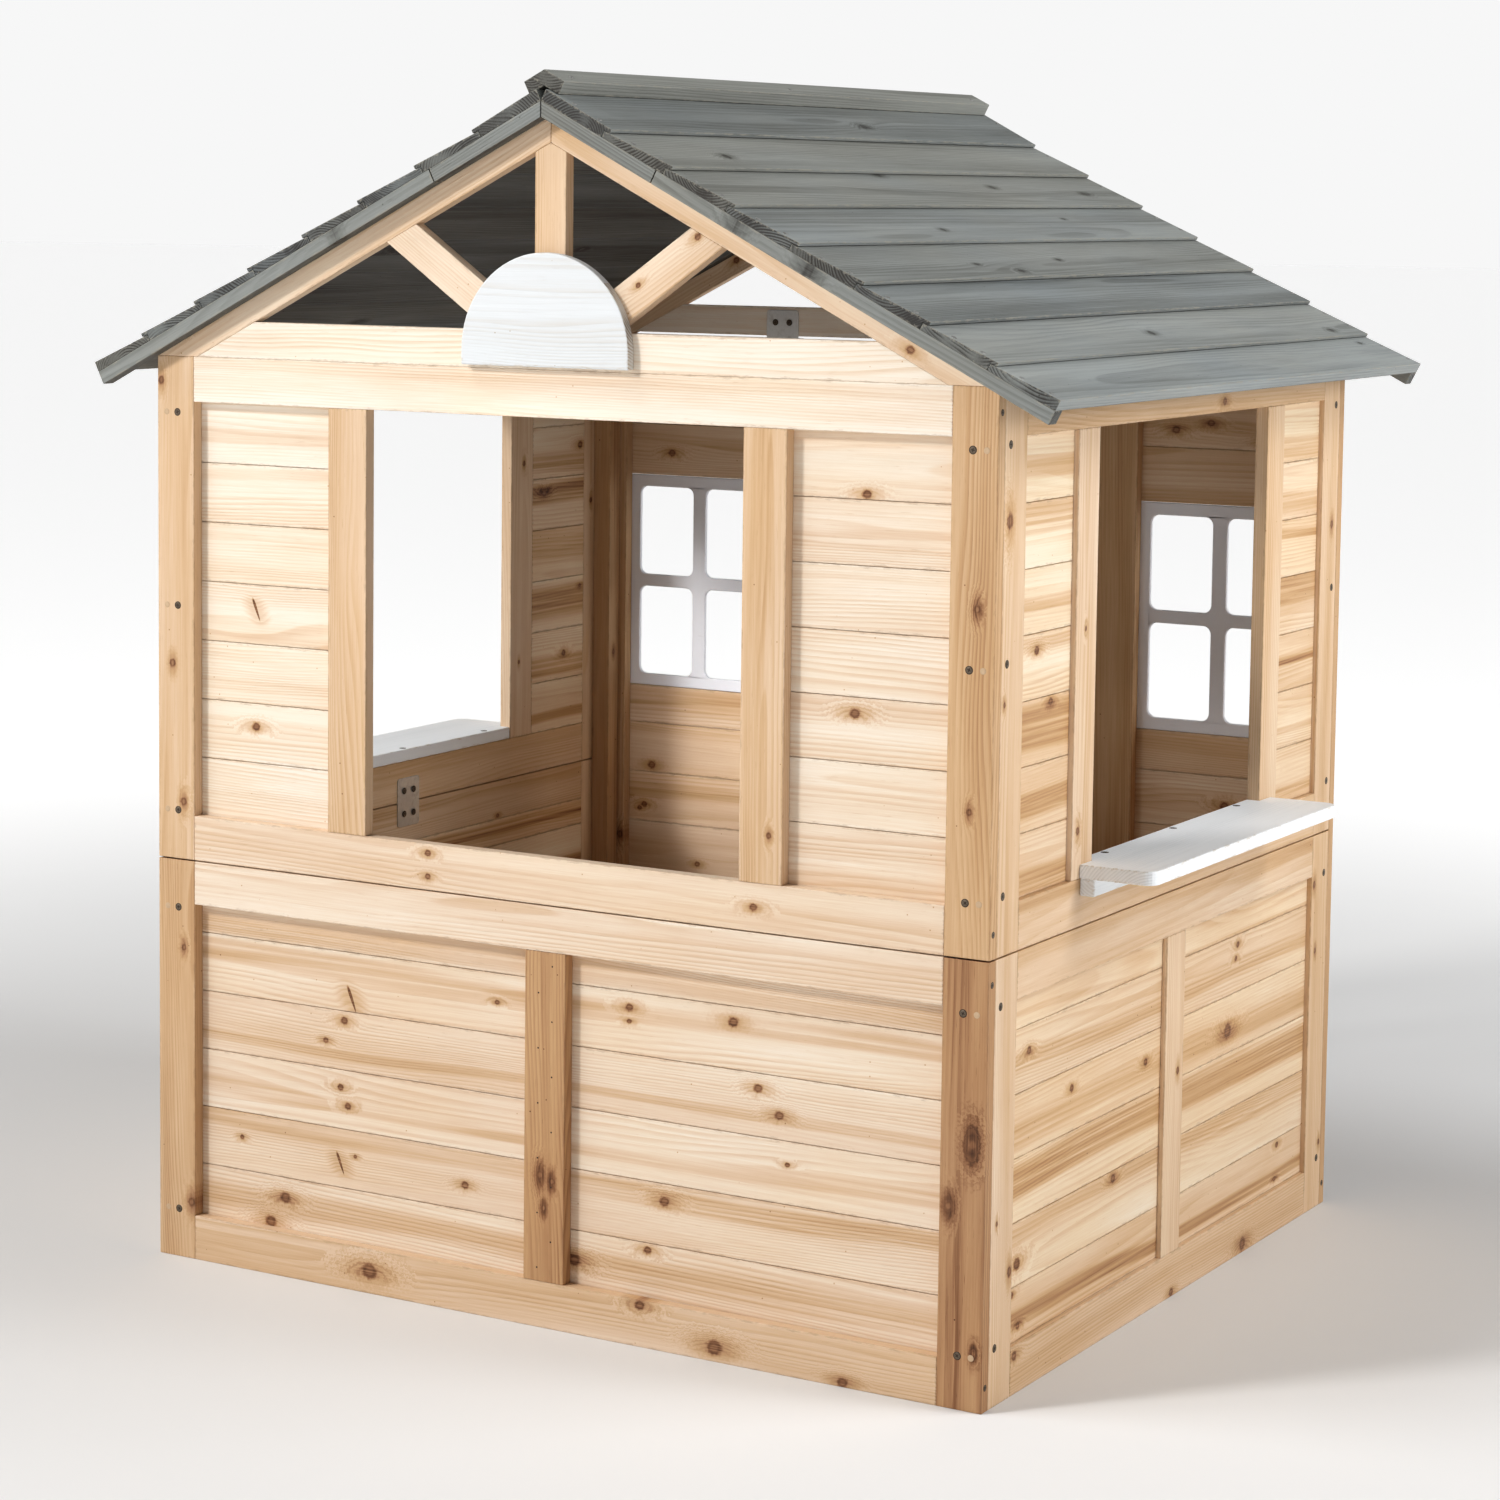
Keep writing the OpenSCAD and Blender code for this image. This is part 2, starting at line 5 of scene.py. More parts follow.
import bmesh
import bpy
from mathutils import Euler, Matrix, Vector


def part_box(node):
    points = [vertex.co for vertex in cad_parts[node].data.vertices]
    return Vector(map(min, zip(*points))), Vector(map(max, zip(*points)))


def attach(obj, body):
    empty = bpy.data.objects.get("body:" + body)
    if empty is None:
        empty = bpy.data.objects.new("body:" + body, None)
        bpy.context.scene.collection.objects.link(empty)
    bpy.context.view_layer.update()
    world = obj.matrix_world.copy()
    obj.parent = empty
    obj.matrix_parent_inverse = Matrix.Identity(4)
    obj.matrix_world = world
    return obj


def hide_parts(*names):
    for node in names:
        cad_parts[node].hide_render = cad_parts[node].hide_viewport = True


# Looks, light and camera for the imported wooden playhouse. Metres, in the CAD's frame.

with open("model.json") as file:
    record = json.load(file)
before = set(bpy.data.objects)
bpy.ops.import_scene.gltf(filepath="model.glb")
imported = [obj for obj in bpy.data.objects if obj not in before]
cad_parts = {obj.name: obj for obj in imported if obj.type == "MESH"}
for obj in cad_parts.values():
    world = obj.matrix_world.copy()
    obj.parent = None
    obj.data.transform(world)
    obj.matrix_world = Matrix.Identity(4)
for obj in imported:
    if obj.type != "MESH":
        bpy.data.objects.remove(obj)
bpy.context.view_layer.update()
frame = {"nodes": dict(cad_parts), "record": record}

MM = 0.001
scene = bpy.context.scene
record = frame["record"]
BODY_OF = {n: body for body, nodes in record["behaviour"]["bodies"].items() for n in nodes}
SLOT_OF = {s["node"]: s["material_slot"] for s in record["subparts"]}

# Where the walls lie, and the seam between their lower and upper panels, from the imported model
FRONT_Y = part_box("front_lower_stiles")[0].y
SIDE_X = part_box("right_lower_stiles")[1].x
SEAM_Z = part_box("front_lower_stiles")[1].z

# The roof's slope, as in part.scad
ROOF_ANGLE = math.radians(27)


# ---------------------------------------------------------------------------------------------
# Node trees
# ---------------------------------------------------------------------------------------------

class Graph:
    """A material's node tree, with a short method for each kind of step."""

    def __init__(self, name):
        self.material = bpy.data.materials.new(name)
        self.material.use_nodes = True
        self.tree = self.material.node_tree
        self.shader = self.tree.nodes["Principled BSDF"]

    def feed(self, socket, value):
        if isinstance(value, bpy.types.NodeSocket):
            self.tree.links.new(value, socket)
        else:
            socket.default_value = value

    def add(self, kind, settings=None, **inputs):
        node = self.tree.nodes.new("ShaderNode" + kind)
        for key, value in (settings or {}).items():
            setattr(node, key, value)
        for key, value in inputs.items():
            self.feed(node.inputs[key.replace("_", " ")], value)
        return node

    def math(self, operation, *values, clamp=False):
        node = self.add("Math", {"operation": operation, "use_clamp": clamp})
        for socket, value in zip(node.inputs, values):
            self.feed(socket, value)
        return node.outputs[0]

    def times(self, a, b):
        return self.math("MULTIPLY", a, b)

    def minus(self, a, b):
        return self.math("SUBTRACT", a, b)

    def vector(self, operation, *values):
        node = self.add("VectorMath", {"operation": operation})
        for socket, value in zip(node.inputs, values):
            self.feed(socket, value)
        return node.outputs["Value" if operation == "LENGTH" else "Vector"]

    def attribute(self, name, output="Vector"):
        return self.add("Attribute", {"attribute_name": name}).outputs[output]

    def split(self, vector):
        node = self.add("SeparateXYZ", Vector=vector)
        return [node.outputs[axis] for axis in "XYZ"]

    def join(self, x, y, z):
        return self.add("CombineXYZ", X=x, Y=y, Z=z).outputs[0]

    def length(self, x, y):
        return self.vector("LENGTH", self.join(x, y, 0.0))

    def noise(self, vector, scale=1.0, detail=2.0, roughness=0.5):
        return self.add("TexNoise", Vector=vector, Scale=scale, Detail=detail,
                        Roughness=roughness).outputs["Fac"]

    def streaks(self, place, along, across, detail=2.0, roughness=0.5):
        """Noise that is drawn out along the grain. along and across are frequencies per metre."""
        stretched = self.vector("MULTIPLY", place, (along, across, across))
        return self.noise(stretched, 1.0, detail, roughness)

    def fade(self, value, start, end):
        """0 at start and 1 at end, with smooth shoulders. start may lie above end."""
        node = self.add("MapRange", {"interpolation_type": "SMOOTHSTEP"})
        for socket, given in zip(node.inputs, (value, start, end, 0.0, 1.0)):
            self.feed(socket, given)
        return node.outputs[0]

    def total(self, *terms):
        result = terms[0]
        for term in terms[1:]:
            result = self.math("ADD", result, term)
        return result

    def swing(self, value, factor):
        """factor times the value's distance from one half."""
        return self.times(self.minus(value, 0.5), factor)

    def mix(self, share, a, b, blend="MIX"):
        node = self.add("Mix", {"data_type": "RGBA", "blend_type": blend})
        for index, value in ((0, share), (6, a), (7, b)):
            self.feed(node.inputs[index], value)
        return node.outputs[2]

    def ramp(self, value, stops):
        node = self.add("ValToRGB", Fac=value)
        elements = node.color_ramp.elements
        while len(elements) < len(stops):
            elements.new(0.5)
        for element, (position, colour) in zip(elements, stops):
            element.position = position
            element.color = (*colour, 1)
        return node.outputs["Color"]

    def finish(self, colour, roughness, height=None, depth=0.0, **plain):
        self.feed(self.shader.inputs["Base Color"], colour)
        self.feed(self.shader.inputs["Roughness"], roughness)
        if height is not None:
            bump = self.add("Bump", Strength=1.0, Distance=depth, Height=height)
            self.feed(self.shader.inputs["Normal"], bump.outputs[0])
        for name, value in plain.items():
            self.shader.inputs[name.replace("_", " ")].default_value = value
        return self.material


# ---------------------------------------------------------------------------------------------
# Wood. Each timber carries its own grain frame and character as attributes of its vertices:
#   grain    place in the timber: along the grain, across its face, through its thickness
#   half     half the timber's size in the same three directions
#   look     random seed, tone from pale to brown, warmth from pink to yellow
#   pith     the growth rings' centre across and through, and how it drifts along the timber
#   heart    the middle, half width and strength of a darker streak of heartwood
#   knot_0.. a knot's place along and across, and its radius
#   spike    the same for a knot that runs across the face, with half its length
# and of its faces: end_grain, and underside, which marks the faces that look down for painted
# shade; each 0 or 1
# ---------------------------------------------------------------------------------------------

KNOT_SLOTS = 4
NO_KNOT = (9.0, 9.0, 0.0)
RING_WIDTH = 3.0 * MM
SMALLEST_MARK = 0.01 * MM
KNOT_RAGGED = 260.0

# A knot and its halo are longer than they are high. These are their heights over their lengths.
KNOT_SHAPE = 0.85
HALO_SHAPE = 0.42

# A spike knot leans along the grain by this share of its height, and is wide at its upper end
SPIKE_LEAN = 0.4
SPIKE_NARROW = 7.5
SPIKE_TAPER = 0.28

# How far each thing moves the tone from pale to brown, before a wood's own contrast
RING_TONE = 0.14
HEART_TONE = 0.36
BROAD_TONE = 0.36
FIBRE_TONE = 0.22
FLECK_TONE = 0.12
HALO_TONE = 0.30

# The same for what a wood's contrast doesn't change, and a knot's own tone
SPECK_TONE = 0.35
END_RING_TONE = 0.25
KNOT_TONE = 0.82

# The colour of bare wood along its edges, and how strongly worn edges take theirs
HANDLED_EDGE = (0.30, 0.19, 0.11)
BARE_EDGE_SHARE, COATED_EDGE_SHARE = 0.30, 0.55

# How deep each kind of surface is
WOOD_RELIEF = 0.22 * MM
PLASTIC_RELIEF = 0.06 * MM
METAL_RELIEF = 0.03 * MM
FINE_RELIEF = 0.05 * MM

BARE_TONES = [
    (0.0, (0.88, 0.80, 0.70)), (0.12, (0.82, 0.69, 0.555)), (0.25, (0.74, 0.565, 0.42)),
    (0.40, (0.655, 0.465, 0.30)), (0.55, (0.555, 0.36, 0.205)), (0.70, (0.43, 0.25, 0.138)),
    (0.85, (0.24, 0.115, 0.058)), (1.0, (0.085, 0.038, 0.021)),
]
STAINED_TONES = [
    (0.0, (0.375, 0.38, 0.35)), (0.3, (0.27, 0.275, 0.255)), (0.55, (0.18, 0.182, 0.165)),
    (0.8, (0.10, 0.098, 0.088)), (1.0, (0.045, 0.04, 0.035)),
]
WHITE_TONES = [
    (0.0, (0.93, 0.95, 0.97)), (0.3, (0.80, 0.83, 0.855)), (0.55, (0.72, 0.735, 0.75)),
    (0.8, (0.62, 0.58, 0.53)), (1.0, (0.40, 0.32, 0.25)),
]


def round_mark(g, along, across, at, height, radius):
    """How much a point lies in a knot's core, on its rim and in its halo, and how far the knot
    pushes the growth rings aside."""
    da = g.minus(along, at)
    db = g.minus(across, height)
    size = g.math("MAXIMUM", radius, SMALLEST_MARK)
    ragged = g.noise(g.join(g.times(da, KNOT_RAGGED), g.times(db, KNOT_RAGGED), at))
    wobble = g.total(1.0, g.swing(ragged, 0.7))
    close = g.length(g.times(da, KNOT_SHAPE), db)
    wide = g.length(g.times(da, HALO_SHAPE), db)
    reach = g.math("DIVIDE", g.times(close, wobble), size)
    core = g.fade(reach, 1.45, 0.65)
    rim = g.times(core, g.fade(reach, 0.30, 0.85))
    spread = g.math("DIVIDE", g.times(wide, wobble), size)
    halo = g.fade(spread, 2.7, 0.3)
    push = g.times(g.fade(spread, 3.6, 0.0), g.times(radius, 1.7))
    return core, rim, halo, push


def spike_mark(g, along, across):
    """The same for a spike knot, which runs slantwise across the face."""
    at, height, length = g.split(g.attribute("spike"))
    db = g.minus(across, height)
    da = g.total(g.minus(along, at), g.times(db, SPIKE_LEAN))
    size = g.math("MAXIMUM", length, SMALLEST_MARK)
    narrow = g.minus(SPIKE_NARROW, g.math("DIVIDE", db, g.times(size, SPIKE_TAPER)))
    reach = g.math("DIVIDE", g.length(g.times(da, narrow), db), size)
    core = g.fade(reach, 1.1, 0.75)
    rim = g.times(core, g.fade(reach, 0.2, 0.9))
    halo = g.fade(g.math("DIVIDE", g.length(da, db), size), 1.7, 0.3)
    return core, rim, g.times(halo, 0.7), g.times(halo, g.times(length, 0.3))


def knot_marks(g, along, across):
    """The strongest core, rim and halo of all the timber's knots, and their pushes together."""
    marks = [round_mark(g, along, across, *g.split(g.attribute(f"knot_{i}")))
             for i in range(KNOT_SLOTS)]
    marks.append(spike_mark(g, along, across))
    core, rim, halo = marks[0][:3]
    for more_core, more_rim, more_halo, _ in marks[1:]:
        core = g.math("MAXIMUM", core, more_core)
        rim = g.math("MAXIMUM", rim, more_rim)
        halo = g.math("MAXIMUM", halo, more_halo)
    return core, rim, halo, g.total(*[push for *_, push in marks])


def late_wood(g, own, seed, place, slow, push):
    """How much a point lies in the dark late wood of its growth ring."""
    along, across, through = place
    pith_b, pith_c, drift = g.split(g.attribute("pith"))
    sway = g.streaks(own, 3.5, 20.0, 3.0)
    bent_b = g.total(across, g.swing(slow, 0.045), g.swing(sway, 0.008),
                     g.times(along, drift), g.times(pith_b, -1.0))
    bent_c = g.minus(g.total(through, g.swing(slow, -0.02)), pith_c)
    radius = g.total(g.length(bent_b, bent_c), push)
    uneven = g.noise(g.join(g.times(radius, 90.0), seed, 0.0), 1.0, 1.0)
    turns = g.total(g.math("DIVIDE", radius, RING_WIDTH), g.swing(uneven, 1.3))
    phase = g.math("FRACT", turns)
    late = g.times(g.fade(phase, 0.25, 0.85), g.fade(phase, 1.0, 0.90))
    return g.times(late, g.fade(g.streaks(own, 2.0, 30.0, 1.0), 0.25, 0.65))


def heartwood(g, own, across, slow):
    """How strong the darker streak of heartwood is at a point."""
    centre, half_width, strength = g.split(g.attribute("heart"))
    bent = g.total(across, g.swing(slow, 0.05))
    off = g.math("ABSOLUTE", g.minus(bent, centre))
    heart = g.times(g.fade(off, g.times(half_width, 1.35), g.times(half_width, 0.55)), strength)
    return g.times(heart, g.fade(g.streaks(own, 1.6, 170.0), 0.15, 0.6))


def worn_edges(g, own, place):
    """How worn a point is, in a ragged band along the timber's edges."""
    halves = g.split(g.attribute("half"))
    gaps = [g.minus(half, g.math("ABSOLUTE", at)) for half, at in zip(halves, place)]
    pairs = [g.total(gaps[i], gaps[j]) for i, j in ((0, 1), (0, 2), (1, 2))]
    edge = g.math("MINIMUM", g.math("MINIMUM", pairs[0], pairs[1]), pairs[2])
    ragged = g.streaks(own, 60.0, 260.0, 3.0, 0.7)
    return g.fade(g.total(edge, g.swing(ragged, 12 * MM)), 1.8 * MM, -0.6 * MM)


def wood_material(name, tones, contrast=1.0, wear=None, roughness=0.6, warm=(1.0, 0.93, 0.79),
                  end_dark=0.14, underside_painted_shade=0.0):
    """Sawn softwood: rings round a pith, fibres, resin flecks, heartwood, knots and end grain.
    wear is the colour that shows through a stain or a wash along its edges."""
    g = Graph(name)
    grain = g.attribute("grain")
    place = g.split(grain)
    along, across, _ = place
    seed, tone, warmth = g.split(g.attribute("look"))
    own = g.vector("ADD", grain, g.join(g.times(seed, 31.0), seed, seed))
    core, rim, halo, push = knot_marks(g, along, across)
    slow = g.streaks(own, 1.3, 9.0)
    late = late_wood(g, own, seed, place, slow, push)
    fibre = g.streaks(own, 14.0, 620.0, 3.0, 0.6)
    fleck = g.fade(g.streaks(own, 55.0, 1500.0, 1.0), 0.70, 0.80)
    end = g.attribute("end_grain", "Fac")
    cells = g.add("TexVoronoi", Vector=own, Scale=45.0).outputs["Distance"]

    level = g.total(
        tone,
        g.times(late, g.total(RING_TONE * contrast, g.times(end, END_RING_TONE))),
        g.times(heartwood(g, own, across, slow), HEART_TONE * contrast),
        g.swing(g.streaks(own, 2.2, 26.0), BROAD_TONE * contrast),
        g.swing(fibre, FIBRE_TONE * contrast),
        g.times(fleck, FLECK_TONE * contrast),
        g.times(halo, HALO_TONE * contrast),
        g.times(end, end_dark),
        # Faces that look down are painted darker, as painted shade under the roof
        g.times(g.attribute("underside", "Fac"), underside_painted_shade),
        g.times(g.fade(cells, 0.045, 0.030), SPECK_TONE),
    )
    knot_level = g.total(KNOT_TONE, g.times(rim, 0.10), g.swing(fibre, 0.5))
    level = g.total(g.times(level, g.minus(1.0, core)), g.times(knot_level, core))
    colour = g.ramp(level, tones)
    warmer = g.mix(1.0, colour, (*warm, 1), "MULTIPLY")
    pale_patch = g.streaks(own, 5.0, 9.0, 1.0)
    tinted = g.math("ADD", warmth, g.swing(pale_patch, 0.8), clamp=True)
    colour = g.mix(tinted, colour, warmer)
    worn = worn_edges(g, own, place)
    if wear:
        colour = g.mix(g.times(worn, COATED_EDGE_SHARE), colour, (*wear, 1))
    else:
        colour = g.mix(g.times(worn, BARE_EDGE_SHARE), colour, (*HANDLED_EDGE, 1))

    height = g.total(g.times(late, 0.6), g.times(fibre, 0.9), g.times(rim, 1.5),
                     g.times(fleck, -0.6))
    rough = g.total(roughness, g.swing(fibre, 0.25), g.times(core, -0.08))
    return g.finish(colour, rough, height, WOOD_RELIEF, Specular_IOR_Level=0.3)


# ---------------------------------------------------------------------------------------------
# Other materials
# ---------------------------------------------------------------------------------------------

def object_place(g):
    return g.add("TexCoord").outputs["Object"]


def plastic_material():
    """White moulded plastic: a fine moulded texture, faint clouding and scuffs."""
    g = Graph("window_plastic")
    place = object_place(g)
    cloud = g.noise(place, 9.0, 3.0)
    scuff = g.fade(g.noise(g.vector("MULTIPLY", place, (60.0, 60.0, 420.0)), 1.0, 2.0), 0.66, 0.74)
    texture = g.noise(place, 1400.0, 2.0)
    colour = g.mix(cloud, (0.80, 0.82, 0.88, 1), (0.88, 0.89, 0.94, 1))
    colour = g.mix(g.times(scuff, 0.25), colour, (0.66, 0.67, 0.70, 1))
    rough = g.total(0.38, g.swing(cloud, 0.12), g.times(scuff, 0.2))
    return g.finish(colour, rough, texture, PLASTIC_RELIEF)


def metal_material(name, colour, tarnish, roughness, metallic):
    """Zinc-plated steel: spangle, brushing and dull spots."""
    g = Graph(name)
    place = object_place(g)
    spangle = g.noise(place, 260.0, 2.0)
    brushed = g.noise(g.vector("MULTIPLY", place, (2200.0, 2200.0, 90.0)), 1.0, 2.0)
    spots = g.fade(g.noise(place, 90.0, 3.0, 0.6), 0.52, 0.68)
    shade = g.mix(spangle, (*colour, 1), (*[c * 0.84 for c in colour], 1))
    shade = g.mix(g.times(spots, 0.5), shade, (*tarnish, 1))
    rough = g.total(roughness, g.swing(spangle, 0.2), g.times(spots, 0.18))
    return g.finish(shade, rough, brushed, METAL_RELIEF, Metallic=metallic)


def plain_material(name, low, high, roughness, scale):
    """A dull surface that varies between two colours."""
    g = Graph(name)
    cloud = g.noise(object_place(g), scale, 4.0)
    colour = g.mix(cloud, (*low, 1), (*high, 1))
    return g.finish(colour, g.total(roughness, g.swing(cloud, 0.1)), cloud, FINE_RELIEF)


bare_wood = wood_material("bare_softwood", BARE_TONES)
# The stain's faces that look down are painted darker, as painted shade
stained_wood = wood_material(
    "grey_stained_softwood", STAINED_TONES, contrast=1.15, wear=(0.33, 0.31, 0.26),
    roughness=0.62, warm=(0.90, 0.98, 1.10), end_dark=0.42, underside_painted_shade=0.40)
white_wood = wood_material(
    "white_washed_softwood", WHITE_TONES, contrast=0.75, wear=(0.60, 0.52, 0.42),
    roughness=0.5, warm=(0.98, 1.0, 1.0))
plastic = plastic_material()
plate_steel = metal_material("plated_steel", (0.70, 0.70, 0.69), (0.52, 0.50, 0.47), 0.36, 0.75)
screw_steel = metal_material("screw_steel", (0.17, 0.135, 0.10), (0.07, 0.05, 0.035), 0.45, 0.6)
nail_steel = metal_material("nail_steel", (0.34, 0.34, 0.33), (0.16, 0.15, 0.14), 0.50, 0.6)
# Near black, as painted shade in the screws' recesses and round their heads; the batten's brads
# are drawn in it too
painted_shade_dark = plain_material("dark_recess", (0.035, 0.022, 0.015), (0.08, 0.05, 0.035), 0.8, 500.0)
pale_plug = plain_material("pale_filler", (0.50, 0.35, 0.22), (0.60, 0.44, 0.29), 0.7, 300.0)


# ---------------------------------------------------------------------------------------------
# Character of the timbers: tone, spread of tone, warmth, and share of heartwood
# ---------------------------------------------------------------------------------------------

TONE = {
    "front_lower_stiles": (0.46, 0.0, 0.35, 0.3), "front_upper_stiles": (0.33, 0.0, 0.40, 0.3),
    "front_lower_rails": (0.17, 0.0, 0.15, 0.3), "front_upper_rails": (0.10, 0.0, 0.15, 0.3),
    "front_lower_batten": (0.60, 0.0, 0.45, 0.3), "front_upper_uprights": (0.31, 0.02, 0.30, 0.4),
    "front_lower_boards": (0.15, 0.05, 0.12, 0.7), "front_upper_boards": (0.03, 0.04, 0.20, 0.3),
    "side_stiles": (0.27, 0.03, 0.50, 0.3), "side_rails": (0.28, 0.05, 0.45, 0.5),
    "side_batten": (0.18, 0.0, 0.60, 0.3), "side_uprights": (0.20, 0.03, 0.50, 0.3),
    "side_boards": (0.15, 0.09, 0.80, 1.4),
    "back_stiles": (0.46, 0.04, 0.40, 0.4), "back_rails": (0.42, 0.05, 0.40, 0.4),
    "back_boards": (0.25, 0.07, 0.35, 0.7), "corner_posts": (0.50, 0.05, 0.40, 0.3),
    "tie_beam": (0.00, 0.02, 0.10, 0.2), "rafters": (0.20, 0.03, 0.45, 0.4),
    "king_posts": (0.24, 0.03, 0.45, 0.3), "gable_struts": (0.16, 0.05, 0.30, 0.4),
    "door_stiles": (0.40, 0.04, 0.40, 0.4), "door_rails": (0.36, 0.04, 0.40, 0.4),
    "door_boards": (0.26, 0.06, 0.35, 0.7),
    "roof_boards": (0.35, 0.09, 0.45, 0.5), "roof_battens": (0.36, 0.06, 0.30, 0.3),
    "ridge_cap": (0.30, 0.02, 0.05, 0.4),
    "shelf": (0.00, 0.01, 0.3, 0.2), "shelf_battens": (0.10, 0.02, 0.3, 0.2),
    "front_plaque": (0.52, 0.0, 0.4, 0.1),
}

# Knots that stand out, in millimetres, placed to the nearest 5: along the wall, up, radius.
# A node that isn't listed gets a few at random, and one with an empty list is clear.
KNOTS = {
    "front_lower_boards": [
        (-70, 340, 2.5), (-270, 295, 4), (-295, 270, 3), (-275, 220, 3.5), (-265, 200, 3.5),
        (-410, 145, 2.5), (-255, 145, 2), (-110, 135, 4), (-350, 85, 5.5), (-370, 55, 6),
        (95, 355, 4), (95, 340, 2.5), (220, 355, 5), (250, 290, 4.5), (275, 265, 4.5),
        (60, 260, 2.5), (285, 215, 2.5), (140, 155, 5), (115, 135, 3), (145, 125, 5.5),
        (450, 140, 3.5), (30, 75, 6), (120, 100, 4), (350, 60, 8),
    ],
    "front_lower_rails": [(-225, 25, 8), (210, 15, 7.5), (360, 5, 5), (120, 45, 5)],
    "front_upper_rails": [(-150, 495, 3.5), (-150, 470, 3), (250, 480, 4)],
    "front_lower_stiles": [
        (-480, 355, 3), (-470, 65, 4.5), (500, 270, 6), (475, 205, 4.5), (505, 60, 3)],
    "front_upper_stiles": [
        (-510, 990, 4), (-495, 675, 4), (-480, 520, 4), (495, 800, 3.5), (490, 600, 3)],
    "front_lower_batten": [(-5, 165, 4.5), (10, 160, 3.5), (0, 130, 3)],
    "front_upper_boards": [(365, 905, 4.5), (355, 685, 5), (-390, 610, 4.5)],
    "right_lower_boards": [
        (-375, 345, 4), (-270, 285, 4), (-80, 275, 4), (-160, 165, 4.5), (-395, 130, 6),
        (-405, 100, 3), (-390, 65, 3.5), (175, 360, 3.5), (170, 345, 3), (150, 265, 8),
        (310, 100, 3.5), (305, 60, 3), (140, 70, 3.5), (35, 80, 4), (35, 55, 3.5)],
    "right_lower_rails": [(-410, 40, 4.5), (-10, 5, 4.5), (195, 10, 7)],
    "right_upper_boards": [(-375, 750, 4.5), (-340, 695, 4)],
    "right_upper_stiles": [(-455, 885, 6.5), (-460, 705, 2.5), (420, 820, 4)],
    "front_tie_beam": [],
    "front_plaque": [],
}

# Spike knots, which run across a board: the same, with half the spike's length
SPIKES = {
    "front_lower_boards": [(-260, 320, 15), (-275, 135, 13), (230, 320, 12)],
    "front_upper_boards": [(-390, 740, 13)],
}

# Timbers whose tone differs from their neighbours', counted from the left and from below
OWN_TONE = {
    ("front_lower_stiles", 1): 0.66, ("front_upper_stiles", 1): 0.46,
    ("front_lower_rails", 0): 0.30, ("front_lower_rails", 1): 0.14,
    ("front_upper_rails", 0): 0.17, ("front_upper_rails", 1): 0.05,
}

# The roof boards are painted paler towards the eaves, as painted light where the lower rows catch
# more light
ROOF_LOW, ROOF_HIGH = (corner.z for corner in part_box("right_roof_boards"))
ROOF_EAVES_PAINTED_LIGHT = 0.16

# How many knots a timber gets at random, if it is longer than twice LONG_HALF and if it is
# shorter, and how large they are
LONG_HALF = 0.1
KNOTS_IF_LONG, KNOTS_IF_SHORT = (0, 1, 1, 2, 3), (0, 0, 1)
SMALL_KNOT, LARGE_KNOT = 2.2, 5.0

# How much the timbers of one node differ in warmth
TINT_SPREAD = 0.15
ROOF_TINT_SPREAD = 0.45

# How much browner the boards on the right of a front panel are
RIGHT_SHIFT = {"front_lower_boards": 0.09, "front_upper_boards": 0.06}


def named(table, node):
    """The table's entry for a node: its own name, or the ending that it shares with others."""
    if node in table:
        return table[node]
    kind = node.replace("left_", "side_").replace("right_", "side_")
    kind = kind.replace("_lower", "").replace("_upper", "").replace("back_side_", "back_")
    keys = [k for k in table if kind == k or kind.endswith(k)]
    return table[max(keys, key=len)]


# ---------------------------------------------------------------------------------------------
# Timber meshes
# ---------------------------------------------------------------------------------------------

# Edges sharper than this are eased
SHARP = math.radians(20)

# The gap between a lower and an upper wall panel, and the widest joint that gets a strip
SEAM_GAP = 1.4 * MM
WIDEST_JOINT = 1.5 * MM

# The strips that close the board joints: their place in the boards' thickness, and how far they
# reach below and above the lower board's top
STRIP_INSET = 0.36
STRIP_BELOW = 2.0 * MM
STRIP_ABOVE = 2.6 * MM

# The corners that each face of a box joins, as box_corners lists them
BOX_FACES = ((0, 1, 3, 2), (4, 6, 7, 5), (0, 4, 5, 1), (2, 3, 7, 6), (0, 2, 6, 4), (1, 5, 7, 3))


def solids(node):
    """A CAD node's separate solids, each a bmesh with its flat faces whole, in a fixed order."""
    work = bmesh.new()
    work.from_mesh(frame["nodes"][node].data)
    bmesh.ops.remove_doubles(work, verts=work.verts, dist=1e-6)
    bmesh.ops.dissolve_limit(work, angle_limit=math.radians(1), verts=work.verts, edges=work.edges)
    found, seen = [], set()
    for start in work.faces:
        if start in seen:
            continue
        group, queue = [], [start]
        seen.add(start)
        while queue:
            face = queue.pop()
            group.append(face)
            for edge in face.edges:
                for other in edge.link_faces:
                    if other not in seen:
                        seen.add(other)
                        queue.append(other)
        solid = bmesh.new()
        copy = {}
        for face in group:
            for vert in face.verts:
                if vert not in copy:
                    copy[vert] = solid.verts.new(vert.co)
            solid.faces.new([copy[v] for v in face.verts])
        solid.normal_update()
        found.append(solid)
    work.free()
    return sorted(found, key=lambda s: [round(c, 4) for c in middle(s).zxy])


def extent(solid):
    low = Vector(min(v.co[i] for v in solid.verts) for i in range(3))
    high = Vector(max(v.co[i] for v in solid.verts) for i in range(3))
    return low, high


def middle(solid):
    low, high = extent(solid)
    return (low + high) / 2


def forward(direction):
    """The direction or its opposite, whichever has its main part positive."""
    main = max(range(3), key=lambda i: abs(direction[i]))
    return direction if direction[main] > 0 else -direction


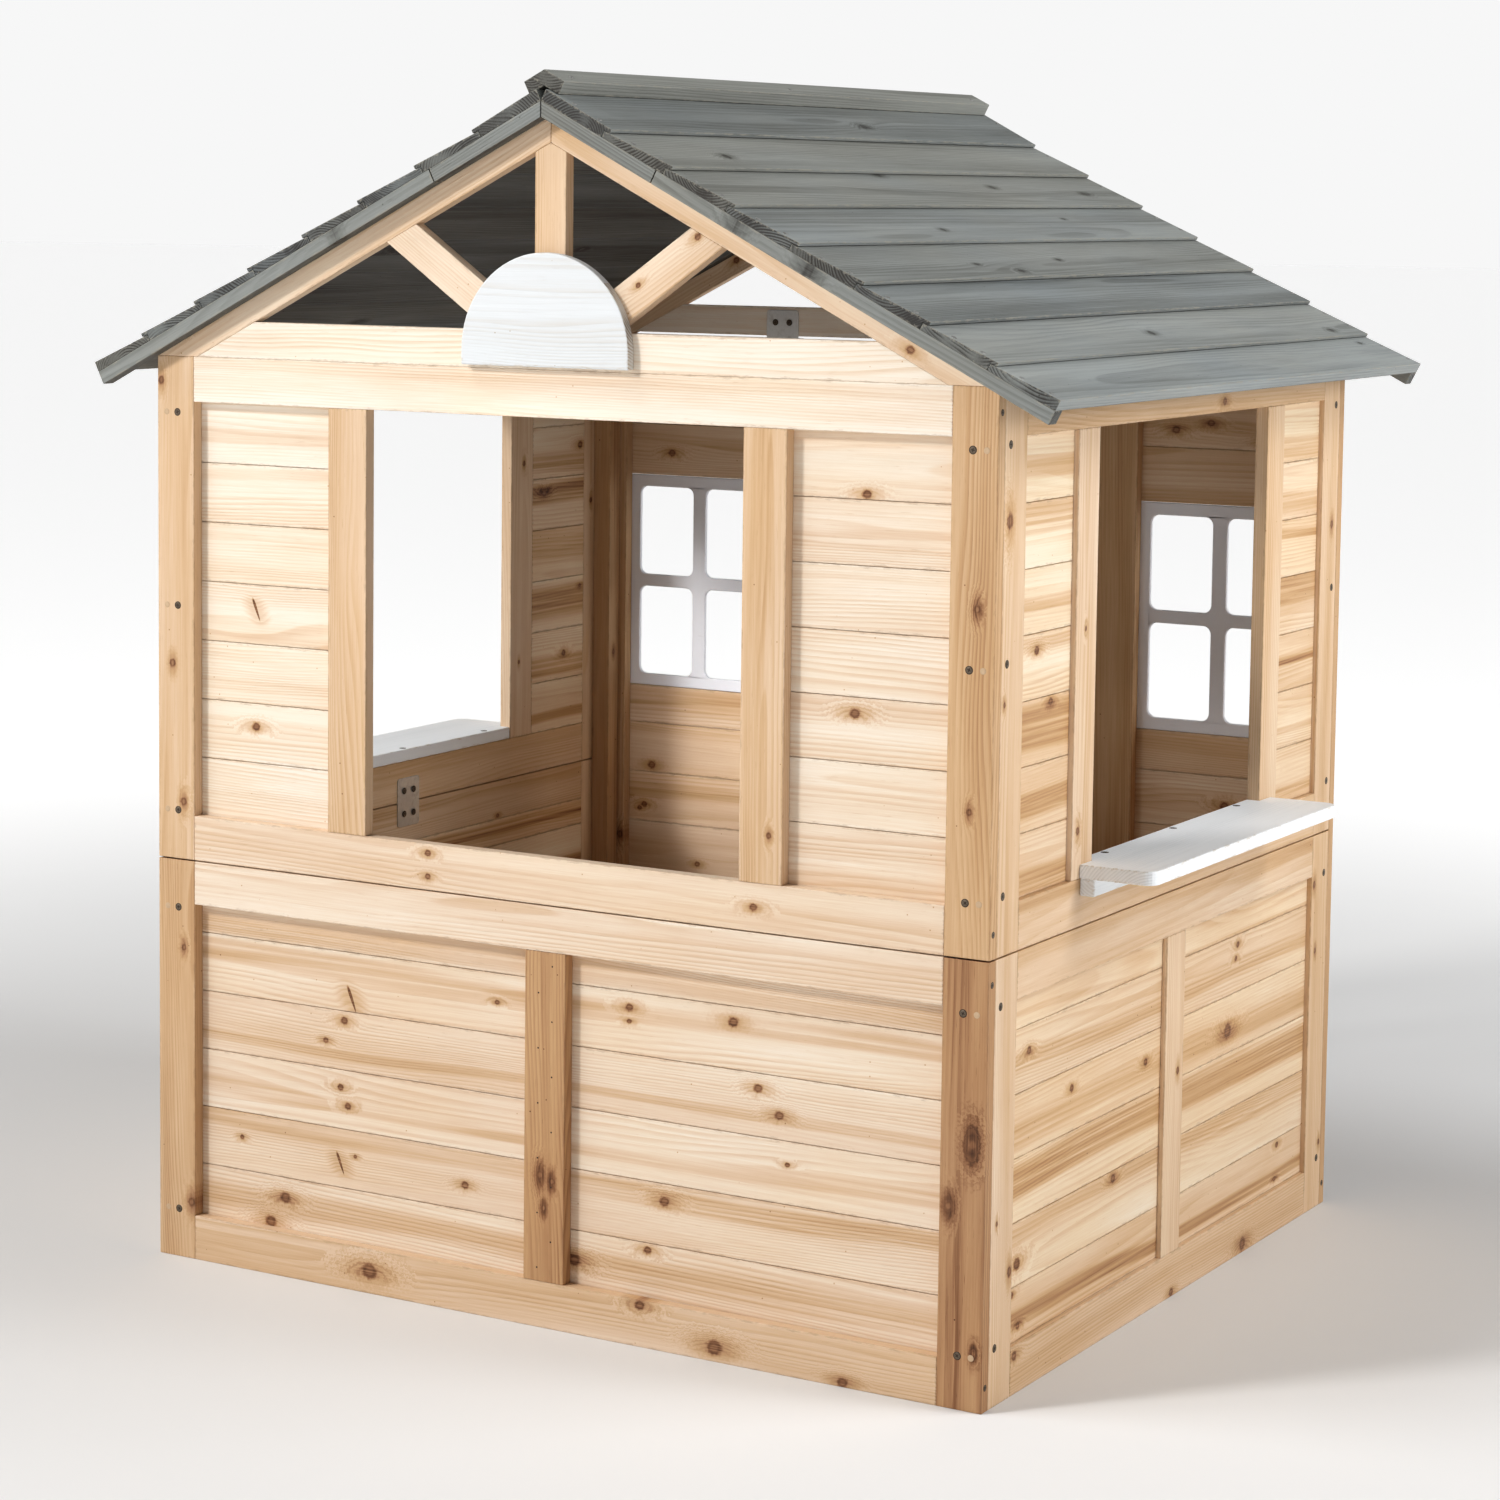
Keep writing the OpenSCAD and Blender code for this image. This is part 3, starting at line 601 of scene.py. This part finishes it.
class Timber:
    """One solid's grain frame: along its longest edge, and across and square to its face."""

    def __init__(self, solid):
        edge = max(solid.edges, key=lambda e: round(e.calc_length(), 5))
        self.along = forward((edge.verts[1].co - edge.verts[0].co).normalized())
        side_faces = [f for f in solid.faces if abs(f.normal.dot(self.along)) < 0.5]
        face = max(side_faces, key=lambda f: round(f.calc_area(), 7))
        self.across = forward(face.normal.cross(self.along).normalized())
        self.through = self.along.cross(self.across)
        self.axes = (self.along, self.across, self.through)
        spans = [[v.co.dot(axis) for v in solid.verts] for axis in self.axes]
        self.centre = Vector((min(s) + max(s)) / 2 for s in spans)
        self.half = Vector((max(s) - min(s)) / 2 for s in spans)
        self.low, self.high = extent(solid)
        self.height = middle(solid).z

    def local(self, point):
        return Vector(point.dot(axis) for axis in self.axes) - self.centre

    def holds(self, local):
        return all(abs(local[i]) <= self.half[i] for i in (0, 1))


def knots_of(node, timber, draw):
    """The knots listed for this timber, or a few at random, as (along, across, radius), in as
    many slots as the material reads."""
    chosen = []
    for at, up, radius in KNOTS.get(node, []):
        wall_y = FRONT_Y if node.startswith("front") else at * MM
        wall_x = at * MM if node.startswith("front") else SIDE_X
        local = timber.local(Vector((wall_x, wall_y, up * MM)))
        if timber.holds(local):
            chosen.append((local.x, local.y, radius * MM))
    if node not in KNOTS:
        counts = KNOTS_IF_LONG if timber.half.x > LONG_HALF else KNOTS_IF_SHORT
        for _ in range(draw.choice(counts)):
            chosen.append((draw.uniform(-0.9, 0.9) * timber.half.x,
                           draw.uniform(-0.85, 0.85) * timber.half.y,
                           draw.uniform(SMALL_KNOT, LARGE_KNOT) * MM))
    chosen = chosen[:KNOT_SLOTS]
    return chosen + [NO_KNOT] * (KNOT_SLOTS - len(chosen))


def spike_of(node, timber):
    for at, up, length in SPIKES.get(node, []):
        local = timber.local(Vector((at * MM, FRONT_Y, up * MM)))
        if timber.holds(local):
            return (local.x, local.y, length * MM)
    return NO_KNOT


def character(node, index, timber):
    """The attributes that are the same all over one timber."""
    draw = random.Random(f"{node} {index}")
    tone, spread, warmth, heart = named(TONE, node)
    tone = OWN_TONE.get((node, index), tone + draw.uniform(-spread, spread))
    if node in RIGHT_SHIFT and timber.centre.x > 0:
        tone += RIGHT_SHIFT[node]
    tint_spread = TINT_SPREAD
    if node.endswith("roof_boards"):
        # Painted light: the roof boards grow paler towards the eaves
        tone -= ROOF_EAVES_PAINTED_LIGHT * (1 - (timber.height - ROOF_LOW) / (ROOF_HIGH - ROOF_LOW))
        tint_spread = ROOF_TINT_SPREAD
    half = timber.half
    values = {
        "half": half,
        "look": Vector((draw.random(), tone, warmth + draw.uniform(-tint_spread, tint_spread))),
        "pith": Vector((draw.uniform(-0.06, 0.06), draw.choice((-1, 1)) * draw.uniform(0.02, 0.07),
                        draw.uniform(-0.03, 0.03))),
        "heart": Vector((draw.uniform(-0.8, 0.8) * half.y, draw.uniform(0.15, 0.7) * half.y,
                         heart * draw.uniform(0.3, 1.0))),
    }
    for i, knot in enumerate(knots_of(node, timber, draw)):
        values[f"knot_{i}"] = Vector(knot)
    values["spike"] = Vector(spike_of(node, timber))
    return values


def below_joints(timbers):
    """The boards that have another board of the same wall just above them."""
    def is_under(lower, upper):
        gap = abs(upper.low.z - lower.high.z)
        in_line = abs(upper.high.x - lower.high.x) < MM and abs(upper.high.y - lower.high.y) < MM
        return gap < WIDEST_JOINT and in_line and lower.high.z < upper.high.z

    return [lower for lower in timbers if any(is_under(lower, upper) for upper in timbers)]


def open_seam(node, solid):
    """Leaves a fine gap under an upper wall panel, by lowering the top of the one below."""
    if "_lower_" in node:
        for vert in solid.verts:
            if abs(vert.co.z - SEAM_Z) < 0.1 * MM:
                vert.co.z -= SEAM_GAP


def box_corners(low, high):
    return [Vector((x, y, z))
            for x in (low.x, high.x) for y in (low.y, high.y) for z in (low.z, high.z)]


class WoodMesh:
    """Gathers a node's timbers, with the attributes that the wood material reads."""

    def __init__(self):
        self.verts, self.faces = [], []
        self.point_values = {}
        self.face_values = {"end_grain": [], "underside": []}

    def add(self, timber, verts, faces, ends, shade_below_faces):
        start = len(self.verts)
        self.verts += verts
        self.faces += [[start + i for i in face] for face in faces]
        for vert in verts:
            for key, value in {"grain": timber.local(vert), **timber.own}.items():
                self.point_values.setdefault(key, []).append(value)
        self.face_values["end_grain"] += ends
        self.face_values["underside"] += shade_below_faces

    def add_solid(self, timber, solid):
        solid.verts.index_update()
        verts = [v.co.copy() for v in solid.verts]
        faces = [[v.index for v in face.verts] for face in solid.faces]
        ends = [float(abs(face.normal.dot(timber.along)) > 0.7) for face in solid.faces]
        # Faces that look down, which the material paints darker as shade
        shade_below_faces = [float(face.normal.z < -0.5) for face in solid.faces]
        self.add(timber, verts, faces, ends, shade_below_faces)

    def add_strip(self, board):
        """Closes the joint over a board with a thin strip inside the boards' thickness."""
        size = board.high - board.low
        thin = 1 if size.x > size.y else 0
        low, high = board.low.copy(), board.high.copy()
        low[thin] += size[thin] * STRIP_INSET
        high[thin] -= size[thin] * STRIP_INSET
        low.z = board.high.z - STRIP_BELOW
        high.z = board.high.z + STRIP_ABOVE
        plain = [0.0] * len(BOX_FACES)
        self.add(board, box_corners(low, high), BOX_FACES, plain, plain)

    def build(self, name):
        mesh = bpy.data.meshes.new(name)
        mesh.from_pydata(self.verts, [], self.faces)
        for key, values in self.point_values.items():
            layer = mesh.attributes.new(key, "FLOAT_VECTOR", "POINT")
            layer.data.foreach_set("vector", [c for value in values for c in value])
        for key, values in self.face_values.items():
            layer = mesh.attributes.new(key, "FLOAT", "FACE")
            layer.data.foreach_set("value", values)
        return mesh


def wood_piece(node, material, bevel, joints):
    """A timber node rebuilt with eased edges and the attributes that its material reads."""
    wood = WoodMesh()
    timbers = []
    for index, solid in enumerate(solids(node)):
        timber = Timber(solid)
        timber.own = character(node, index, timber)
        timbers.append(timber)
        open_seam(node, solid)
        sharp = [e for e in solid.edges if e.calc_face_angle(0) > SHARP]
        bmesh.ops.bevel(solid, geom=sharp, offset=bevel, segments=2, profile=0.6,
                        affect="EDGES", clamp_overlap=True)
        wood.add_solid(timber, solid)
        solid.free()
    if joints:
        for board in below_joints(timbers):
            wood.add_strip(board)
    stand_in(wood.build(node + "_wood"), node, material)


def stand_in(mesh, node, *materials):
    """Shows the mesh in place of a CAD node, on the node's own body."""
    for material in materials:
        mesh.materials.append(material)
    piece = bpy.data.objects.new(mesh.name, mesh)
    scene.collection.objects.link(piece)
    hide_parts(node)
    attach(piece, BODY_OF[node])


MATERIAL_OF_SLOT = {"frame_wood": bare_wood, "board_wood": bare_wood, "roof_wood": stained_wood,
                    "white_wood": white_wood}
BEVEL = {"frame_wood": 1.0 * MM, "board_wood": 0.7 * MM, "roof_wood": 0.9 * MM,
         "white_wood": 1.8 * MM}

for node, slot in SLOT_OF.items():
    if slot in MATERIAL_OF_SLOT:
        wood_piece(node, MATERIAL_OF_SLOT[slot], BEVEL[slot], joints=slot == "board_wood")


# ---------------------------------------------------------------------------------------------
# Window frames, hinges and plates keep their CAD shape, with eased edges
# ---------------------------------------------------------------------------------------------

def ease_edges(node, material, width, segments):
    """Gives a CAD node rounded edges and its material."""
    piece = frame["nodes"][node]
    piece.data.materials.clear()
    piece.data.materials.append(material)
    weld = piece.modifiers.new("weld", "WELD")
    weld.merge_threshold = 0.01 * MM
    ease = piece.modifiers.new("ease", "BEVEL")
    ease.width = width
    ease.segments = segments
    ease.limit_method = "ANGLE"
    ease.angle_limit = math.radians(40)


for node in ("left_window_frame", "right_window_frame"):
    ease_edges(node, plastic, 1.4 * MM, 3)
ease_edges("mending_plates", plate_steel, 0.35 * MM, 2)
for node in ("hinge_frame_leaves", "hinge_door_leaves", "hinge_pins"):
    ease_edges(node, plate_steel, 0.25 * MM, 2)


# ---------------------------------------------------------------------------------------------
# Screws and nails
# ---------------------------------------------------------------------------------------------

# How far a screw's head stands proud, and how far each is turned from the one before, in radians
WALL_PROUD, WALL_TURN = 0.12 * MM, 1.1
HINGE_PROUD, HINGE_TURN = 0.3 * MM, 0.9

# The hinge screws sit this much deeper in their leaves, and are this much shorter
HINGE_SUNK, HINGE_SHORTER = 0.3 * MM, 1 * MM
NAIL_HEAD = 0.8 * MM

# One arm of a screw's cross recess, as shares of the head's radius
RECESS_LONG, RECESS_WIDE = 1.05, 0.26


def fastener_frames(node):
    """Each fastener's head centre, outward direction, head radius and length."""
    frames = []
    for solid in solids(node):
        points = [v.co.copy() for v in solid.verts]
        centre = middle(solid)
        if node == "roof_nails":
            out = Vector((math.copysign(math.sin(ROOF_ANGLE), centre.x), 0, math.cos(ROOF_ANGLE)))
        else:
            spans = [max(p[i] for p in points) - min(p[i] for p in points) for i in range(3)]
            main = spans.index(max(spans))
            out = Vector((0, 0, 0))
            out[main] = 1.0
        reach = [(p - centre).dot(out) for p in points]
        radii = [((p - centre) - out * r).length for p, r in zip(points, reach)]
        widest = max(range(len(points)), key=lambda i: round(radii[i], 6))
        if reach[widest] < 0:
            out = -out
            reach = [-r for r in reach]
        frames.append((centre + out * max(reach), out, max(radii), max(reach) - min(reach)))
        solid.free()
    return frames


def lathe(target, matrix, profile, sides, material):
    """Turns a profile of (radius, height) about a fastener's axis."""
    rings = []
    for radius, height in profile:
        ring = []
        for i in range(sides if radius > 0 else 1):
            angle = 2 * math.pi * i / sides
            ring.append(target.verts.new(
                matrix @ Vector((radius * math.cos(angle), radius * math.sin(angle), height))))
        rings.append(ring)
    for lower, upper in zip(rings, rings[1:]):
        for i in range(sides):
            j = (i + 1) % sides
            corners = [lower[i % len(lower)], lower[j % len(lower)],
                       upper[j % len(upper)], upper[i % len(upper)]]
            corners = list(dict.fromkeys(corners))
            if len(corners) > 2:
                face = target.faces.new(corners)
                face.material_index = material
                face.smooth = True


def bar(target, matrix, size, top, material):
    """A flat bar that lies on a screw's head, for one arm of its cross recess; the screws draw it
    dark, as the recess's painted shade.
    """
    low = Vector((-size[0] / 2, -size[1] / 2, top - size[2]))
    high = Vector((size[0] / 2, size[1] / 2, top))
    verts = [target.verts.new(matrix @ corner) for corner in box_corners(low, high)]
    for face in BOX_FACES:
        target.faces.new([verts[i] for i in face]).material_index = material


def fastener_matrix(head, out, turn):
    rotation = out.to_track_quat("Z", "Y").to_matrix().to_4x4()
    spin = Euler((0, 0, turn)).to_matrix().to_4x4()
    rotation = rotation @ spin
    rotation.translation = head
    return rotation


def screw(target, head, out, radius, length, turn, lift):
    """A countersunk screw with a dished head, a cross recess drawn as two dark bars of painted
    shade, and a dark ring of painted shade round the head where it sinks into the wood.
    """
    matrix = fastener_matrix(head, out, turn)
    shank = radius * 0.45
    rim = radius * 0.92
    lathe(target, matrix, [
        (0, -length), (shank, -length + 3 * shank), (shank, -radius), (rim, lift - 0.2 * MM),
        (rim, lift), (radius * 0.62, lift - 0.1 * MM), (0, lift - 0.1 * MM)], 20, 0)
    # The cross recess: two dark bars lying on the head, as painted shade
    for angle in (0, math.pi / 2):
        spun = matrix @ Euler((0, 0, angle)).to_matrix().to_4x4()
        size = (radius * RECESS_LONG, radius * RECESS_WIDE, 0.3 * MM)
        bar(target, spun, size, lift - 0.06 * MM, 1)
    # A dark ring round the head, as painted shade where the head meets the wood
    lathe(target, matrix, [
        (radius * 0.9, -0.3 * MM), (radius * 0.9, 0.09 * MM), (radius * 1.12, 0.09 * MM),
        (radius * 1.18, -0.3 * MM)], 20, 1)


def nail(target, head, out, radius, length, rise):
    """A round nail with a low domed head."""
    matrix = fastener_matrix(head, out, 0.0)
    shank = radius * 0.42
    lathe(target, matrix, [
        (0, -length), (shank, -length + 2 * shank), (shank, -rise), (radius, -rise),
        (radius * 0.93, -rise * 0.45), (radius * 0.6, -rise * 0.1), (0, 0)], 16, 0)


def fasteners(node, build, *materials):
    work = bmesh.new()
    for index, given in enumerate(fastener_frames(node)):
        build(work, index, *given)
    mesh = bpy.data.meshes.new(node + "_steel")
    work.normal_update()
    work.to_mesh(mesh)
    work.free()
    stand_in(mesh, node, *materials)


def wall_screw(work, index, head, out, radius, length):
    screw(work, head, out, radius, length, index * WALL_TURN, WALL_PROUD)


def hinge_screw(work, index, head, out, radius, length):
    head = head - out * HINGE_SUNK
    screw(work, head, out, radius, length - HINGE_SHORTER, index * HINGE_TURN, HINGE_PROUD)


def roof_nail(work, index, head, out, radius, length):
    nail(work, head, out, radius, length, NAIL_HEAD)


# The screws' second material is the near-black painted shade of their recesses and rims
fasteners("wall_screws", wall_screw, screw_steel, painted_shade_dark)
fasteners("hinge_frame_screws", hinge_screw, plate_steel, painted_shade_dark)
fasteners("hinge_door_screws", hinge_screw, plate_steel, painted_shade_dark)
fasteners("roof_nails", roof_nail, nail_steel)


def discs(name, places, out, radius, rise, material, node):
    """Small round marks on a wall, such as filled holes, that ride with the node's body."""
    work = bmesh.new()
    for place in places:
        lathe(work, fastener_matrix(place, out, 0.0),
              [(radius, -0.4 * MM), (radius, rise * 0.5), (radius * 0.8, rise), (0, rise)], 14, 0)
    mesh = bpy.data.meshes.new(name)
    work.normal_update()
    work.to_mesh(mesh)
    work.free()
    mesh.materials.append(material)
    piece = bpy.data.objects.new(name, mesh)
    scene.collection.objects.link(piece)
    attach(piece, BODY_OF[node])


FRONT_OUT = Vector((0, -1, 0))
PLUG_GAP = 15 * MM
PLUG_RADIUS = 3.4 * MM
PLUG_RISE = 0.08 * MM
BRAD_ROWS = 12
BRAD_LEFT = -8 * MM
BRAD_RIGHT = 9 * MM
BRAD_RADIUS = 1.0 * MM
BRAD_RISE = 0.05 * MM


def plug_places():
    """Beside each screw in the front of the front stiles, on the side away from the middle."""
    heads = [head for head, out, *_ in fastener_frames("wall_screws")
             if out.y < -0.9 and head.y < FRONT_Y + MM]
    return [head + Vector((math.copysign(PLUG_GAP, head.x), 0, 0)) for head in heads]


def brad_places():
    """Up the front batten, to the left and to the right in turn."""
    low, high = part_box("front_lower_batten")
    step = (high.z - low.z) / BRAD_ROWS
    return [Vector((BRAD_RIGHT if row % 2 else BRAD_LEFT, FRONT_Y, low.z + step * (row + 0.5)))
            for row in range(BRAD_ROWS)]


discs("front_stile_plugs", plug_places(), FRONT_OUT, PLUG_RADIUS, PLUG_RISE, pale_plug,
      "front_lower_stiles")
# The brads are drawn in the same near-black as the painted recess shade
discs("batten_brads", brad_places(), FRONT_OUT, BRAD_RADIUS, BRAD_RISE, painted_shade_dark,
      "front_lower_batten")


# ---------------------------------------------------------------------------------------------
# Stage, light and camera
# ---------------------------------------------------------------------------------------------

# How bright the backdrop and the floor far from the house are, and the sky overhead. The floor
# gets FLOOR_LIT of its brightness from the lights, and glows for the rest.
BACKDROP = 0.78
OVERHEAD = 0.06
FLOOR_LIT = 0.298
FLOOR_GREY = 0.74

# The floor's reach and where its glow starts and is full, in metres from the middle, and the
# heights of the view, from 0 level to 1 straight up, between which the sky dims
FLOOR_HALF = 60.0
GLOW_START, GLOW_END = 1.0, 4.0
HORIZON_TOP, OVERHEAD_FROM = 0.12, 0.40


def build_floor():
    """A pale floor that brightens into the backdrop well away from the house."""
    h = FLOOR_HALF
    mesh = bpy.data.meshes.new("floor")
    mesh.from_pydata([(-h, -h, 0), (h, -h, 0), (h, h, 0), (-h, h, 0)], [], [(0, 1, 2, 3)])
    g = Graph("pale_floor")
    away = g.vector("LENGTH", object_place(g))
    glow = g.times(g.fade(away, GLOW_START, GLOW_END), BACKDROP - FLOOR_LIT)
    g.shader.inputs["Emission Color"].default_value = (1, 1, 1, 1)
    g.feed(g.shader.inputs["Emission Strength"], glow)
    g.finish((FLOOR_GREY, FLOOR_GREY, FLOOR_GREY, 1), 0.8)
    mesh.materials.append(g.material)
    floor = bpy.data.objects.new("floor", mesh)
    scene.collection.objects.link(floor)


def place_lamp(name, light, place, aim):
    lamp = bpy.data.objects.new(name, light)
    lamp.location = place
    lamp.rotation_euler = (Vector(aim) - Vector(place)).to_track_quat("-Z", "Y").to_euler()
    scene.collection.objects.link(lamp)


def area_light(name, place, aim, size, power, colour=(1, 1, 1)):
    light = bpy.data.lights.new(name, "AREA")
    light.shape = "RECTANGLE"
    light.size, light.size_y = size
    light.energy = power
    light.color = colour
    place_lamp(name, light, place, aim)


def sun_light(name, towards, angle, strength):
    light = bpy.data.lights.new(name, "SUN")
    light.angle = math.radians(angle)
    light.energy = strength
    lamp = bpy.data.objects.new(name, light)
    lamp.rotation_euler = Vector(towards).to_track_quat("Z", "Y").to_euler()
    scene.collection.objects.link(lamp)


def spot_light(name, place, aim, cone, power, blend=0.8, size=0.12):
    light = bpy.data.lights.new(name, "SPOT")
    light.spot_size = math.radians(cone)
    light.spot_blend = blend
    light.shadow_soft_size = size
    light.energy = power
    place_lamp(name, light, place, aim)


def build_world():
    """A plain backdrop that is bright at the horizon and dimmer overhead."""
    world = bpy.data.worlds.new("studio")
    world.use_nodes = True
    tree = world.node_tree
    place = tree.nodes.new("ShaderNodeTexCoord")
    axes = tree.nodes.new("ShaderNodeSeparateXYZ")
    fall = tree.nodes.new("ShaderNodeMapRange")
    limits = (0.0, HORIZON_TOP, OVERHEAD_FROM, BACKDROP, OVERHEAD)
    for socket, value in zip(fall.inputs, limits):
        socket.default_value = value
    tree.links.new(place.outputs["Generated"], axes.inputs[0])
    tree.links.new(axes.outputs["Z"], fall.inputs[0])
    tree.links.new(fall.outputs[0], tree.nodes["Background"].inputs["Strength"])
    tree.nodes["Background"].inputs["Color"].default_value = (1, 1, 1, 1)
    scene.world = world


# The photo's viewpoint, in metres and degrees, and the lens in millimetres
EYE = (2.071, -3.730, 1.200)
YAW, PITCH, ROLL = 31.731, 5.334, -0.475
LENS = 89.2
SENSOR = 36
SHIFT_X, SHIFT_Y = 0.10, -0.14
FARTHEST = 200


def build_camera():
    camera = bpy.data.cameras.new("camera")
    camera.sensor_width = SENSOR
    camera.lens = LENS
    camera.shift_x = SHIFT_X
    camera.shift_y = SHIFT_Y
    camera.clip_end = FARTHEST
    eye = bpy.data.objects.new("camera", camera)
    eye.location = EYE
    yaw, pitch, roll = (math.radians(angle) for angle in (YAW, PITCH, ROLL))
    eye.rotation_euler = (Euler((math.pi / 2 - pitch, 0, yaw)).to_matrix()
                          @ Euler((0, 0, -roll)).to_matrix()).to_euler()
    scene.collection.objects.link(eye)
    scene.camera = eye


WARM_WHITE = (1.0, 0.985, 0.965)

build_floor()
build_world()
sun_light("high_left", towards=(-0.42, -0.30, 1.0), angle=22, strength=0.95)
area_light("front_box", place=(-2.5, -4.1, 3.4), aim=(0, 0, 0.7), size=(0.7, 0.7), power=133,
           colour=WARM_WHITE)
area_light("right_box", place=(2.9, 0.7, 3.5), aim=(0.4, 0, 0.6), size=(1.8, 1.8), power=60)
area_light("right_low_box", place=(3.9, 0.6, 2.0), aim=(0.0, 0.1, 0.5), size=(0.9, 0.9), power=32)
# A narrow beam through the serving hatch, onto the inside of the back wall
spot_light("hatch_snoot", place=(1.2, -5.6, 2.1), aim=(-0.24, 0.45, 0.52), cone=3.7, power=900)
build_camera()
scene.view_settings.view_transform = "Standard"
scene.view_settings.look = "Medium High Contrast"
